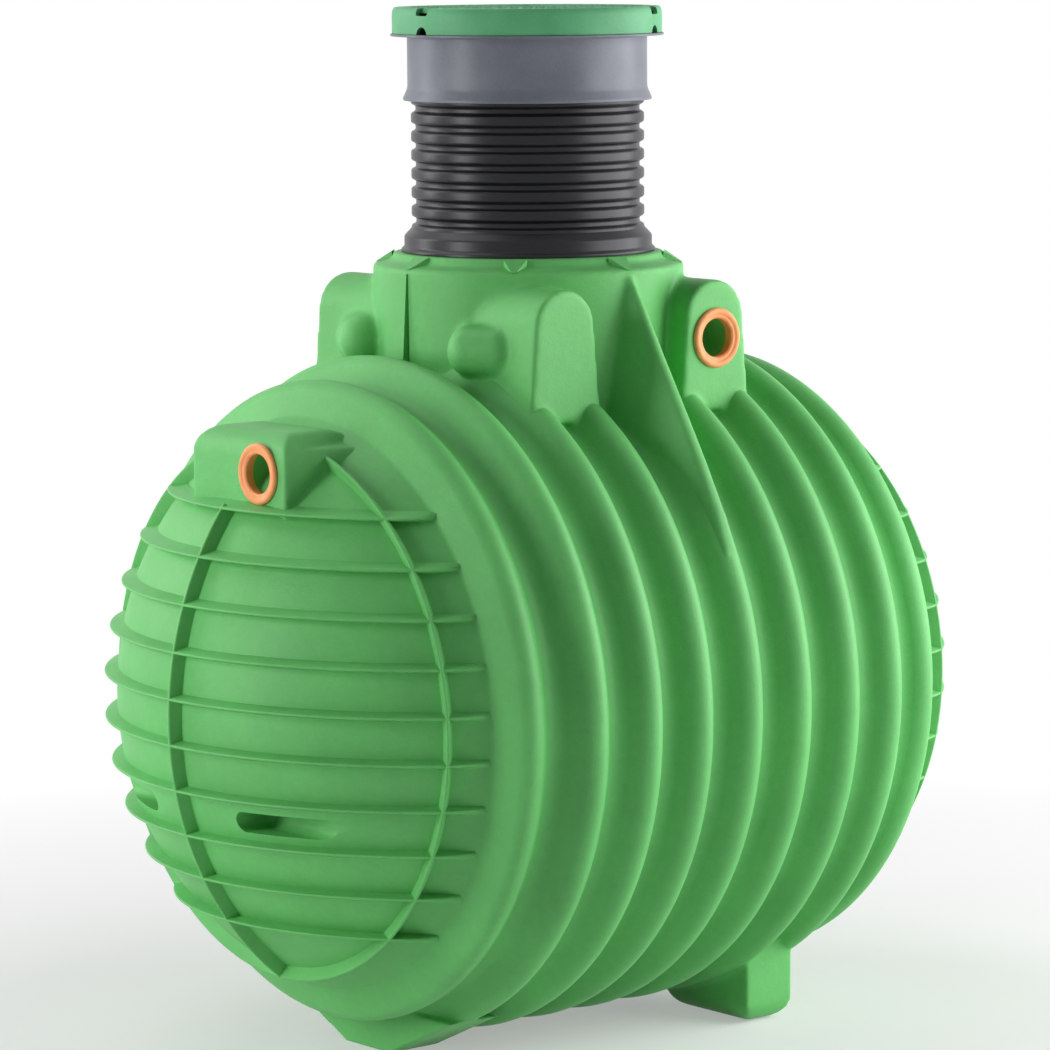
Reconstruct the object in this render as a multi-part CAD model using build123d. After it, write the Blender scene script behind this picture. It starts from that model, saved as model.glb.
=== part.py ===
from build123d import *
from math import asin, cos, radians, sin, sqrt, tan
import os

# Rainwater cistern: a lying ribbed plastic tank with domed ends, a neck on top,
# a corrugated riser, a collar that slides over it and a lift-off lid.
# Millimetres. The origin is on the floor under the middle of the tank,
# +X runs along the tank's axis away from the inlet end, +Z is up.
# Heights in the functions are measured from the tank's axis.

# Tank shell
CREST_R = 994.5             # crest radius of the middle ribs
FLOOR_CLEARANCE = 35.5      # from the middle ribs down to the floor
WALL = 10.0                 # moulded wall
RIB_PITCH = 187.0
RIB_COUNT = 9
NEXT_DROP = 15.5            # the second rib from each end is this much lower
END_DROP = 74.5             # the end ribs are this much lower
RIB_DEPTH = 48.0
CREST_ROUND = 41.0
VALLEY_ROUND = 68.8
FLANK_ANGLE = 45.0          # of the ribs' flanks against the axis
TOP_HALF_ANGLE = 35.0       # the top segment of the barrel reaches this far each side

AXIS_HEIGHT = CREST_R + FLOOR_CLEARANCE
END_RIB_X = (RIB_COUNT - 1) / 2 * RIB_PITCH

# Domed ends
GRID_HEIGHT = 37.5          # how far the rib grid stands off the dome
SEAM_DROP = 176.5           # where dome and barrel meet, below the crests
SEAM_OUT = 68.0             # and outwards from the end rib

DOME_R = CREST_R - GRID_HEIGHT
SEAM_R = CREST_R - SEAM_DROP
SEAM_X = END_RIB_X + SEAM_OUT
DOME_CENTRE_X = SEAM_X - sqrt(DOME_R ** 2 - SEAM_R ** 2)

# Rib grid on each end
FIN_COUNT = 10
FIN_PITCH = 130.3
FIN_THICK = 12.0
BAR_THICK = 14.0            # ring and spine
RING_OUT = 619.0            # plane of the ring rib, from the dome's centre
RUN_OUT = 36.0              # the fins run out over this length before the seam

# Pockets in the domes
POCKET_DROP = 262.0         # below the axis
POCKET_HEIGHT = 60.0
POCKET_IN_Y = 190.0
POCKET_OUT_Y = 540.0
POCKET_FLOOR_OUT = 775.0    # plane of the floor, from the dome's centre
POCKET_CORNER = 29.0

# Inlet box at the top of each end
BOX_FACE_OUT = 741.0        # plane of the face, from the dome's centre
BOX_HALF_WIDTH = 218.0
BOX_DROP = 191.5            # top of the box below the crests
BOX_HEIGHT = 303.0
BOX_CORNER = 75.0
BOX_DRAFT = 14.0
BOX_LENGTH = 330.0

BOX_FACE_X = DOME_CENTRE_X + BOX_FACE_OUT
BOX_TOP = CREST_R - BOX_DROP

# Riser
RISER_R = 340.0
RISER_WALL = 22.0           # stands for the corrugated wall and its liner
RISER_LENGTH = 586.0
GROOVE_COUNT = 7
GROOVE_PITCH = 54.2
GROOVE_DEPTH = 13.5
GROOVE_MOUTH = 28.0
GROOVE_FLOOR = 14.0
FIRST_GROOVE = 91.0         # above the neck
BASE_OUT = 22.0             # the base ring stands out this far
BASE_FLARE = 9.0
FLARE_HEIGHT = 14.0
BASE_HEIGHT = 46.0
BASE_CONE = 23.0

# Neck
NECK_MARGIN = 113.5         # neck's wall outside the riser
NECK_RISE = 259.5           # plateau above the crests
STEP_HEIGHT = 21.0          # plateau above the ledge
LEDGE_RISE = 14.0
LEDGE_WIDTH = 53.5
STEP_DRAFT = 7.0
MANHOLE_LIP = 18.0          # of the plateau, inside the riser's bore
NECK_SINK = 194.5           # the neck's wall reaches this far below the crests

NECK_R = RISER_R + NECK_MARGIN
NECK_TOP = CREST_R + NECK_RISE
NECK_SHOULDER = NECK_TOP - STEP_HEIGHT - LEDGE_RISE
LEDGE_R = NECK_R - LEDGE_WIDTH
PLATEAU_R = LEDGE_R - STEP_DRAFT
MANHOLE_R = RISER_R - RISER_WALL - MANHOLE_LIP
NECK_FOOT = CREST_R - NECK_SINK

# Gussets on the neck's ledge
GUSSET_COUNT = 8
GUSSET_HALF_WIDTH = 34.0
GUSSET_TIP = 6.0

# Boxes beside the neck, for pipes
POD_X = 283.0
POD_OUT = 51.5              # face outside the neck's wall
POD_HALF_TOP = 109.0
POD_ARCH_DROP = 183.0       # middle of the arch, below the plateau
POD_HALF_FOOT = 140.0
POD_SINK = 264.5            # the pods reach this far below the crests
POD_BACK_Y = 190.0
STUB_R = 61.5
STUB_Y = 301.0
STUB_DROP = 254.0           # below the plateau
STUB_LENGTH = 265.0
STUB_ROUND = 36.0

POD_FACE_Y = NECK_R + POD_OUT
POD_ARCH_Z = NECK_TOP - POD_ARCH_DROP
POD_FOOT_Z = CREST_R - POD_SINK

# Fins and ridges that brace the neck
BRACE_CREST = 15.0          # thickness along the crest
BRACE_ROOT = 170.0          # and at the root line
BRACE_DEPTH = 200.0         # from the crest down to the root line
BRACE_PROUD = 13.5          # the fin's foot above the rib's crest
BRACE_FOOT_ANGLE = 31.7     # where the fin meets the rib
BRACE_END_ANGLE = 25.0      # where it has run out
RIDGE_THICK = 9.0
RIDGE_OUT_TOP = 5.0
RIDGE_OUT_FOOT = 22.0
RIDGE_DROP = 12.0
RIDGE_SINK = 84.5

# Lip seals for 110 mm pipe
PIPE_R = 55.0
SEAL_FLANGE = 32.0          # flange outside the pipe
SEAL_PROUD = 13.0
SEAL_BODY = 11.0            # body outside the pipe
SEAL_LIP = 3.0
SEAL_BEHIND = 12.0
BOX_SEAL_Y = -99.0
BOX_SEAL_DROP = 117.0       # below the box's top
POD_SEAL_DROP = 242.0       # below the plateau

# Feet
REAR_FOOT_SHIFT = 4.0       # from the middle of the valley between two ribs
REAR_FOOT_HALF = 90.5
REAR_FOOT_END_Y = 530.0
REAR_FOOT_IN_Y = 165.0
FOOT_CORNER = 66.0
FOOT_SINK = 234.5           # the feet reach this far above the lowest crest
PAD_HEIGHT = 10.0
PAD_HALF = 25.0
FRONT_FOOT_SHIFT = 27.0     # from the third rib towards the middle
FRONT_FOOT_HALF = 90.0
FRONT_FOOT_FLAT = 105.0
FRONT_FOOT_REACH = 380.0
FRONT_FOOT_RISE = 123.0

REAR_FOOT_X = 2.5 * RIB_PITCH + REAR_FOOT_SHIFT
FRONT_FOOT_X = FRONT_FOOT_SHIFT - 3 * RIB_PITCH
FOOT_TOP = CREST_R - FOOT_SINK

# Collar and lid
COLLAR_GAP = 1.0            # the collar slides over the riser
COLLAR_WALL = 8.5
COLLAR_FOOT = 439.5         # above the neck
COLLAR_LIP = 13.0
COLLAR_LIP_HEIGHT = 36.0
COLLAR_HEIGHT = 193.0
FLANGE_WIDTH = 48.5
FLANGE_THICK = 7.0
LID_INSET = 5.0             # lid inside the flange's edge
LID_HEIGHT = 77.5
LID_WALL = 12.0
LID_ROUND = 9.0
NOTCH_COUNT = 3
NOTCH_FIRST = -90.0
NOTCH_WIDTH = 52.0
NOTCH_DEPTH = 26.0
NOTCH_HEIGHT = 23.0
ARCH_R = 23.0

COLLAR_BORE = RISER_R + COLLAR_GAP
COLLAR_R = COLLAR_BORE + COLLAR_WALL
FLANGE_R = COLLAR_R + FLANGE_WIDTH
FLANGE_TOP = NECK_TOP + COLLAR_FOOT + COLLAR_HEIGHT
LID_R = FLANGE_R - LID_INSET
LID_TOP = FLANGE_TOP + LID_HEIGHT
NOTCH_FLOOR = LID_TOP - NOTCH_HEIGHT

FRONT = -1
BACK = 1
NEAR = -1
FAR = 1


def polyline_face(points, plane=Plane.XZ):
    return plane * make_face(Polyline(*points, close=True).edges())


def turned(points):
    """Solid of revolution about Z from (radius, height) points."""
    return revolve(polyline_face(points), axis=Axis.Z)


def mirrored_x(shape, side):
    return shape if side == FRONT else mirror(shape, about=Plane.YZ)


def mirrored_y(shape, side):
    return shape if side == NEAR else mirror(shape, about=Plane.XZ)


def crest_radius(rib):
    from_end = min(rib, RIB_COUNT - 1 - rib)
    return CREST_R - {0: END_DROP, 1: NEXT_DROP}.get(from_end, 0)


def rib_stations():
    """Crests and valleys in turn, as (x, radius, is a crest)."""
    stations = []
    for rib in range(RIB_COUNT):
        x = rib * RIB_PITCH - END_RIB_X
        stations.append((x, crest_radius(rib), True))
        if rib < RIB_COUNT - 1:
            valley = min(crest_radius(rib), crest_radius(rib + 1)) - RIB_DEPTH
            stations.append((x + RIB_PITCH / 2, valley, False))
    return stations


def seam_point(depth):
    """Where dome and barrel meet, on the outer skin or a wall's depth inside it."""
    radius = SEAM_R - depth / 2
    return DOME_CENTRE_X + sqrt((DOME_R - depth) ** 2 - radius ** 2), radius


def rounds():
    """Crest and valley rounds, limited to what a flank's length leaves for them."""
    lift = 1 / cos(radians(FLANK_ANGLE)) - 1
    room = RIB_PITCH / 2 * tan(radians(FLANK_ANGLE)) - RIB_DEPTH
    share = min(1, room / lift / (CREST_ROUND + VALLEY_ROUND))
    return share * CREST_ROUND, share * VALLEY_ROUND, lift


def outer_line():
    """Rounded rib and valley line of the skin, from seam to seam."""
    crest_round, valley_round, lift = rounds()
    seam_x, seam_r = seam_point(0)
    points = [(-seam_x, seam_r)]
    radii = []
    for x, radius, is_crest in rib_stations():
        points.append((x, radius + (crest_round if is_crest else -valley_round) * lift))
        radii.append(crest_round if is_crest else valley_round)
    points.append((seam_x, seam_r))
    return FilletPolyline(*points, radius=radii)


def inner_line():
    """The wall's inner face, a flat at each crest and valley, parallel to the skin."""
    crest_round, valley_round, _ = rounds()
    half_turn = tan(radians(FLANK_ANGLE / 2))
    seam_x, seam_r = seam_point(WALL)
    points = [(-seam_x, seam_r)]
    for x, radius, is_crest in rib_stations():
        half = (crest_round - WALL if is_crest else valley_round + WALL) * half_turn
        points += [(x - half, radius - WALL), (x + half, radius - WALL)]
    points.append((seam_x, seam_r))
    return Polyline(*points)


def barrel_section():
    outer_x, outer_r = seam_point(0)
    inner_x, inner_r = seam_point(WALL)
    ends = [Line((side * outer_x, outer_r), (side * inner_x, inner_r)) for side in (FRONT, BACK)]
    edges = outer_line().edges() + inner_line().edges() + [end.edge() for end in ends]
    return Plane.XZ * make_face(edges)


def barrel_core():
    """The barrel filled to its axis, for cutting what sits on it."""
    seam_x, seam_r = seam_point(0)
    close = Polyline((-seam_x, seam_r), (-seam_x, 0), (seam_x, 0), (seam_x, seam_r))
    return revolve(Plane.XZ * make_face(outer_line().edges() + close.edges()), axis=Axis.X)


def barrel_segment(section, low, high):
    return Rot(low, 0, 0) * revolve(section, axis=Axis.X, revolution_arc=high - low)


def sphere_point(radius, rho):
    return -DOME_CENTRE_X - sqrt(radius ** 2 - rho ** 2), rho


def dome_arc(radius, rho_end):
    """Arc of a meridian from the tip of the front dome out to a distance from the axis."""
    turn = asin(rho_end / radius) / 2
    middle = (-DOME_CENTRE_X - radius * cos(turn), radius * sin(turn))
    return ThreePointArc((-DOME_CENTRE_X - radius, 0), middle, sphere_point(radius, rho_end))


def front_dome():
    outer_seam_x, outer_seam_r = seam_point(0)
    inner_seam_x, inner_seam_r = seam_point(WALL)
    outer = dome_arc(DOME_R, outer_seam_r)
    inner = dome_arc(DOME_R - WALL, inner_seam_r)
    seam = Line((-outer_seam_x, outer_seam_r), (-inner_seam_x, inner_seam_r))
    tip = Line((-DOME_CENTRE_X - DOME_R, 0), (-DOME_CENTRE_X - DOME_R + WALL, 0))
    edges = [outer.edge(), seam.edge(), inner.edge(), tip.edge()]
    return revolve(Plane.XZ * make_face(edges), axis=Axis.X)


def dome_core():
    """The front dome filled solid, for cutting what sits on it."""
    seam_x, seam_r = seam_point(0)
    close = Polyline((-seam_x, seam_r), (-seam_x, 0), (-DOME_CENTRE_X - DOME_R, 0))
    edges = [dome_arc(DOME_R, seam_r).edge()] + list(close.edges())
    return revolve(Plane.XZ * make_face(edges), axis=Axis.X)


def pocket(grow, side):
    """Long pocket in the front dome, level floored, so that it runs out to the side."""
    length = POCKET_OUT_Y - POCKET_IN_Y + 2 * grow
    outline = RectangleRounded(length, POCKET_HEIGHT + 2 * grow, POCKET_CORNER + grow)
    middle = side * (POCKET_IN_Y + POCKET_OUT_Y) / 2
    floor = -DOME_CENTRE_X - POCKET_FLOOR_OUT + grow
    place = Plane((floor, middle, -POCKET_DROP), x_dir=(0, 1, 0), z_dir=(-1, 0, 0))
    return extrude(place * outline, amount=CREST_R)


def front_end(core, room):
    """The domed end with its two pockets, open into the inlet box."""
    end = front_dome() - room
    for side in (NEAR, FAR):
        end += pocket(WALL, side) & core
        end -= pocket(0, side)
    return end


def grid_envelope():
    """The skin-deep space over the front dome that the rib grid fills."""
    top_r = DOME_R + GRID_HEIGHT
    seam_x, seam_r = seam_point(0)
    end_x = seam_x + RUN_OUT
    end_rho = sqrt(top_r ** 2 - (end_x - DOME_CENTRE_X) ** 2)
    run_out = Line((-end_x, end_rho), (-seam_x, seam_r))
    tip = Line((-DOME_CENTRE_X - top_r, 0), (-DOME_CENTRE_X - DOME_R, 0))
    edges = [dome_arc(top_r, end_rho).edge(), run_out.edge()]
    edges += [dome_arc(DOME_R, seam_r).edge(), tip.edge()]
    return revolve(Plane.XZ * make_face(edges), axis=Axis.X)


def grid_bars():
    """Level fins, the ring and the upright spine, before they are cut to the envelope."""
    ring_x = -DOME_CENTRE_X - RING_OUT
    reach = 2 * CREST_R
    ring = Pos(ring_x, 0, 0) * Rot(0, 90, 0) * Cylinder(CREST_R, BAR_THICK)
    spine = Pos(ring_x - reach / 2, 0, 0) * Box(reach, BAR_THICK, reach)
    bars = ring + spine
    for n in range(FIN_COUNT):
        z = (n - (FIN_COUNT - 1) / 2) * FIN_PITCH
        bars += Pos(-reach / 2, 0, z) * Box(reach, reach, FIN_THICK)
    return bars


def front_grid(box):
    """Level fins, ring and spine as one lattice, cut to the skin-deep space."""
    return (grid_bars() & grid_envelope()) - box


def box_profile(inset):
    half = BOX_HALF_WIDTH - inset
    height = BOX_HEIGHT - inset
    outline = Pos(0, BOX_TOP - BOX_HEIGHT + height / 2) * Rectangle(2 * half, height)
    return fillet(outline.vertices().sort_by(Axis.Y)[-2:], BOX_CORNER - inset)


def inlet_box_solid(inset):
    """Front inlet box, widening towards the dome. An inset gives its inner room."""
    face = Plane((-BOX_FACE_X + inset, 0, 0), x_dir=(0, 1, 0), z_dir=(1, 0, 0)) * box_profile(inset)
    return extrude(face, amount=BOX_LENGTH, dir=(1, 0, 0), taper=-BOX_DRAFT)


def seal_hole(x, y, z, axis):
    hole = Cylinder(PIPE_R + SEAL_BODY, 4 * WALL)
    turn = Rot(0, 90, 0) if axis == "x" else Rot(90, 0, 0)
    return Pos(x, y, z) * turn * hole


def lip_seal():
    """Pipe seal whose flange sits on the plane z = 0 and whose front faces +Z."""
    body = PIPE_R + SEAL_BODY
    flange = PIPE_R + SEAL_FLANGE
    inner = PIPE_R + SEAL_LIP
    points = [(inner, -WALL - SEAL_BEHIND), (body, -WALL - SEAL_BEHIND),
              (body, 0), (flange, 0), (flange, SEAL_PROUD),
              (body + SEAL_LIP, SEAL_PROUD), (body, SEAL_PROUD - SEAL_LIP),
              (PIPE_R, SEAL_PROUD - SEAL_LIP), (PIPE_R, -WALL), (inner, -WALL)]
    return turned(points)


def neck_outer():
    return [(NECK_R, NECK_FOOT), (NECK_R, NECK_SHOULDER),
            (LEDGE_R, NECK_SHOULDER + LEDGE_RISE), (PLATEAU_R, NECK_TOP)]


def neck_shell(barrel, pod_rooms):
    outer = neck_outer() + [(MANHOLE_R, NECK_TOP)]
    inner = [(MANHOLE_R, NECK_TOP - WALL), (PLATEAU_R - WALL, NECK_TOP - WALL),
             (LEDGE_R - WALL, NECK_SHOULDER + LEDGE_RISE - WALL),
             (NECK_R - WALL, NECK_SHOULDER - WALL), (NECK_R - WALL, NECK_FOOT)]
    shell = turned(outer + inner) - barrel
    for room in pod_rooms:
        shell -= room
    return shell


def neck_core():
    return turned([(0, NECK_FOOT)] + neck_outer() + [(0, NECK_TOP)])


def gussets():
    """Small wedges on the ledge, from the step's foot down to the shoulder."""
    foot_r = LEDGE_R - 2
    rise = NECK_SHOULDER + LEDGE_RISE
    side = polyline_face([(foot_r, rise), (foot_r, NECK_TOP), (NECK_R - 2, NECK_SHOULDER + 1)])
    wedge = extrude(side, amount=GUSSET_HALF_WIDTH, both=True)
    plan = Polyline((foot_r - 1, -GUSSET_HALF_WIDTH), (foot_r - 1, GUSSET_HALF_WIDTH),
                    (NECK_R, GUSSET_TIP), (NECK_R, -GUSSET_TIP), close=True)
    keep = extrude(make_face(plan.edges()), amount=NECK_TOP + WALL)
    one = (wedge & keep) - neck_core()
    pitch = 360 / GUSSET_COUNT
    return Compound([Rot(0, 0, n * pitch) * one for n in range(GUSSET_COUNT)])


def pod_profile(inset):
    half_top = POD_HALF_TOP - inset
    half_foot = POD_HALF_FOOT - inset
    lines = Polyline((-half_top, POD_ARCH_Z), (-half_foot, POD_FOOT_Z),
                     (half_foot, POD_FOOT_Z), (half_top, POD_ARCH_Z))
    arch = ThreePointArc((-half_top, POD_ARCH_Z), (0, POD_ARCH_Z + half_top), (half_top, POD_ARCH_Z))
    return make_face(lines.edges() + arch.edges())


def pod_solid(inset):
    """Front near pod with its side stub. An inset gives its inner room."""
    length = POD_FACE_Y - inset - POD_BACK_Y
    place = Plane((-POD_X, -POD_FACE_Y + inset, 0), x_dir=(1, 0, 0), z_dir=(0, -1, 0))
    body = extrude(place * pod_profile(inset), amount=-length)
    stub = Cylinder(STUB_R - inset, STUB_LENGTH - inset,
                    align=(Align.CENTER, Align.CENTER, Align.MIN))
    stub = fillet(stub.edges().sort_by(Axis.Z)[-1], STUB_ROUND - inset)
    return body + Pos(-POD_X, -STUB_Y, NECK_TOP - STUB_DROP) * Rot(0, -90, 0) * stub


def on_rib(angle, out):
    """A point over the middle rib's crest, as (distance from the middle, height)."""
    radius = crest_radius(RIB_COUNT // 2) + out
    return radius * cos(radians(angle)), radius * sin(radians(angle))


def brace_fin(barrel, neck):
    """Drafted fin over the middle rib, from the barrel's side up to the neck's shoulder."""
    top = (NECK_R, NECK_SHOULDER - 5)
    foot = on_rib(BRACE_FOOT_ANGLE, BRACE_PROUD)
    end = on_rib(BRACE_END_ANGLE, 0)
    along = Vector(foot[0] - top[0], foot[1] - top[1]).normalized()
    inward = Vector(along.Y, -along.X)
    sections = []
    for y, z in (top, foot, end):
        root_y = y + BRACE_DEPTH * inward.X
        root_z = z + BRACE_DEPTH * inward.Y
        corners = [(-BRACE_CREST / 2, -y, z), (BRACE_CREST / 2, -y, z),
                   (BRACE_ROOT / 2, -root_y, root_z), (-BRACE_ROOT / 2, -root_y, root_z)]
        sections.append(make_face(Polyline(*corners, close=True).edges()))
    return loft(sections, ruled=True) - barrel - neck


def neck_ridge(barrel, neck):
    inside = NECK_R - 4 * WALL
    high = NECK_SHOULDER - RIDGE_DROP
    low = CREST_R - RIDGE_SINK
    outline = [(-inside, high), (-NECK_R - RIDGE_OUT_TOP, high),
               (-NECK_R - RIDGE_OUT_FOOT, low), (-inside, low)]
    plate = extrude(polyline_face(outline), amount=RIDGE_THICK / 2, both=True)
    return plate - barrel - neck


def rear_foot(inset):
    """Near rear foot: a box between two ribs, rounded underneath."""
    half = REAR_FOOT_HALF - inset
    low = -AXIS_HEIGHT + PAD_HEIGHT + inset
    high = -FOOT_TOP
    outline = Pos(0, (low + high) / 2) * Rectangle(2 * half, high - low)
    outline = fillet(outline.vertices().sort_by(Axis.Y)[:2], FOOT_CORNER - inset)
    place = Plane((REAR_FOOT_X, -REAR_FOOT_END_Y + inset, 0), x_dir=(1, 0, 0), z_dir=(0, -1, 0))
    length = REAR_FOOT_END_Y - REAR_FOOT_IN_Y - 2 * inset
    return extrude(place * outline, amount=-length)


def rear_pad():
    """The strip that a rear foot stands on."""
    length = REAR_FOOT_END_Y - REAR_FOOT_IN_Y
    height = PAD_HEIGHT + WALL / 2
    middle = (REAR_FOOT_X, -(REAR_FOOT_END_Y + REAR_FOOT_IN_Y) / 2, -AXIS_HEIGHT + height / 2)
    return Pos(*middle) * Box(2 * PAD_HALF, length, height)


def front_foot(inset):
    """Middle foot at the inlet end: level underneath, its flanks running up the rib."""
    flat = FRONT_FOOT_FLAT - inset / 2
    reach = FRONT_FOOT_REACH - inset
    low = -AXIS_HEIGHT + inset
    high = -AXIS_HEIGHT + FRONT_FOOT_RISE
    outline = [(-flat, low), (flat, low), (reach, high), (-reach, high)]
    half = FRONT_FOOT_HALF - inset
    return Pos(FRONT_FOOT_X, 0, 0) * extrude(polyline_face(outline, Plane.YZ), amount=half, both=True)


def riser_pipe():
    bore = RISER_R - RISER_WALL
    top = NECK_TOP + RISER_LENGTH
    points = [(bore, NECK_TOP), (bore, top), (RISER_R, top)]
    grooves = []
    for n in range(GROOVE_COUNT):
        z = NECK_TOP + FIRST_GROOVE + n * GROOVE_PITCH
        floor_r = RISER_R - GROOVE_DEPTH
        grooves += [(RISER_R, z - GROOVE_MOUTH / 2), (floor_r, z - GROOVE_FLOOR / 2),
                    (floor_r, z + GROOVE_FLOOR / 2), (RISER_R, z + GROOVE_MOUTH / 2)]
    return turned(points + grooves[::-1] + [(RISER_R, NECK_TOP)])


def riser_base():
    base_r = RISER_R + BASE_OUT
    return turned([(RISER_R, NECK_TOP), (base_r + BASE_FLARE, NECK_TOP),
                   (base_r, NECK_TOP + FLARE_HEIGHT), (base_r, NECK_TOP + BASE_HEIGHT),
                   (RISER_R, NECK_TOP + BASE_HEIGHT + BASE_CONE)])


def collar():
    foot = NECK_TOP + COLLAR_FOOT
    lip_top = foot + COLLAR_LIP_HEIGHT
    return turned([(COLLAR_BORE, lip_top), (COLLAR_BORE + COLLAR_LIP, foot),
                   (COLLAR_R + COLLAR_LIP, foot), (COLLAR_R, lip_top),
                   (COLLAR_R, FLANGE_TOP - FLANGE_THICK), (FLANGE_R, FLANGE_TOP - FLANGE_THICK),
                   (FLANGE_R, FLANGE_TOP), (COLLAR_BORE, FLANGE_TOP)])


def lid():
    blank = Pos(0, 0, FLANGE_TOP) * Cylinder(
        LID_R, LID_HEIGHT, align=(Align.CENTER, Align.CENTER, Align.MIN))
    blank = fillet(blank.edges().sort_by(Axis.Z)[-1], LID_ROUND)
    room = Pos(0, 0, FLANGE_TOP) * Cylinder(
        LID_R - LID_WALL, LID_HEIGHT - LID_WALL, align=(Align.CENTER, Align.CENTER, Align.MIN))
    shell = blank - room
    for n in range(NOTCH_COUNT):
        turn = Rot(0, 0, NOTCH_FIRST + n * 360 / NOTCH_COUNT)
        shell += turn * Pos(0, -LID_R + NOTCH_DEPTH, 0) * lid_pocket_wall()
        shell -= turn * Pos(0, -LID_R, 0) * lid_notch()
    return shell


def lid_pocket_wall():
    """Thickening behind a notch, so that the recess keeps a back and a floor."""
    width = NOTCH_WIDTH + 2 * LID_WALL
    low = NOTCH_FLOOR - LID_WALL
    high = LID_TOP - LID_WALL / 2
    block = Box(width, NOTCH_DEPTH, high - low)
    return Pos(0, 0, (low + high) / 2) * block


def lid_notch():
    recess = Pos(0, 0, NOTCH_FLOOR) * Box(
        NOTCH_WIDTH, 2 * NOTCH_DEPTH, LID_TOP, align=(Align.CENTER, Align.CENTER, Align.MIN))
    arch = Pos(0, 0, FLANGE_TOP) * Rot(90, 0, 0) * Cylinder(ARCH_R, 3 * LID_WALL)
    return recess + arch


def barrel_parts():
    """The round wall in six segments, the top one open under the neck."""
    section = barrel_section()
    edge = TOP_HALF_ANGLE
    side = (360 - 2 * edge) / 5
    shaft = Pos(0, 0, NECK_FOOT / 2) * Cylinder(
        NECK_R - WALL, NECK_TOP, align=(Align.CENTER, Align.CENTER, Align.MIN))
    parts = {"barrel_top": barrel_segment(section, -edge, edge) - shaft}
    names = ("barrel_upper_near", "barrel_lower_near", "barrel_bottom",
             "barrel_lower_far", "barrel_upper_far")
    for n, name in enumerate(names):
        parts[name] = barrel_segment(section, edge + n * side, edge + (n + 1) * side)
    return parts


def inlet_box(box, room, core, barrel):
    """The hood over the inlet, from its face back to the end rib at most."""
    zone = Pos(-END_RIB_X - CREST_R, 0, 0) * Box(2 * CREST_R, 2 * CREST_R, 2 * CREST_R)
    return (box & zone) - room - core - barrel


def end_parts(barrel):
    """Both domed ends with their rib grids and inlet boxes, and the inlet's seal."""
    core = dome_core()
    box = inlet_box_solid(0)
    room = inlet_box_solid(WALL)
    shapes = {"end": front_end(core, room), "rib_grid": front_grid(box),
              "inlet_box": inlet_box(box, room, core, barrel)}
    parts = {}
    for name, side in (("front", FRONT), ("back", BACK)):
        for kind, shape in shapes.items():
            parts[name + "_" + kind] = mirrored_x(shape, side)
    seal_z = BOX_TOP - BOX_SEAL_DROP
    parts["front_inlet_box"] -= seal_hole(-BOX_FACE_X, BOX_SEAL_Y, seal_z, "x")
    parts["front_inlet_seal"] = Pos(-BOX_FACE_X, BOX_SEAL_Y, seal_z) * Rot(0, -90, 0) * lip_seal()
    return parts


def neck_parts(barrel):
    """The neck with its pods, gussets, fins and ridges, and the outlet's seal."""
    neck = neck_core()
    pod = pod_solid(0) - pod_solid(WALL) - neck - barrel
    pod_room = pod_solid(WALL)
    rooms = []
    parts = {}
    for name_x, side_x in (("front", FRONT), ("back", BACK)):
        for name_y, side_y in (("near", NEAR), ("far", FAR)):
            rooms.append(mirrored_y(mirrored_x(pod_room, side_x), side_y))
            parts["pod_" + name_x + "_" + name_y] = mirrored_y(mirrored_x(pod, side_x), side_y)
    seal_z = NECK_TOP - POD_SEAL_DROP
    parts["pod_back_near"] -= seal_hole(POD_X, -POD_FACE_Y, seal_z, "y")
    parts["outlet_seal"] = Pos(POD_X, -POD_FACE_Y, seal_z) * Rot(90, 0, 0) * lip_seal()
    parts["neck"] = neck_shell(barrel, rooms)
    parts["neck_gussets"] = gussets()
    fin = brace_fin(barrel, neck)
    parts["brace_fin_near"] = fin
    parts["brace_fin_far"] = mirrored_y(fin, FAR)
    ridge = neck_ridge(barrel, neck)
    parts["neck_ridge_front"] = ridge
    parts["neck_ridge_back"] = mirrored_x(ridge, BACK)
    return parts


def foot_parts(barrel):
    rear = rear_foot(0) + rear_pad() - rear_foot(WALL) - barrel
    return {"rear_foot_near": rear, "rear_foot_far": mirrored_y(rear, FAR),
            "front_foot": front_foot(0) - front_foot(WALL) - barrel}


def build_parts():
    barrel = barrel_core()
    parts = barrel_parts()
    parts.update(end_parts(barrel))
    parts.update(neck_parts(barrel))
    parts.update(foot_parts(barrel))
    parts["riser_pipe"] = riser_pipe()
    parts["riser_base"] = riser_base()
    parts["collar"] = collar()
    parts["lid"] = lid()
    return parts


os.makedirs("parts", exist_ok=True)
for name, shape in build_parts().items():
    export_step(Pos(0, 0, AXIS_HEIGHT) * shape, "parts/" + name + ".step")
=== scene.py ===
# %% [markdown]
# # A buried rainwater cistern, dressed for its portrait
# The construction model gives the sizes and the fixed frame. This lesson puts the moulded
# skin on it: a lying tank with soft ribs, rib grids on its domed ends, a neck with pipe
# pods, and the black riser, grey collar and green lid on top. Everything is in metres.

# %% Load the fixed frame
import math

import bmesh
import bpy
from mathutils import Matrix, Vector
from mathutils.bvhtree import BVHTree


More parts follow.
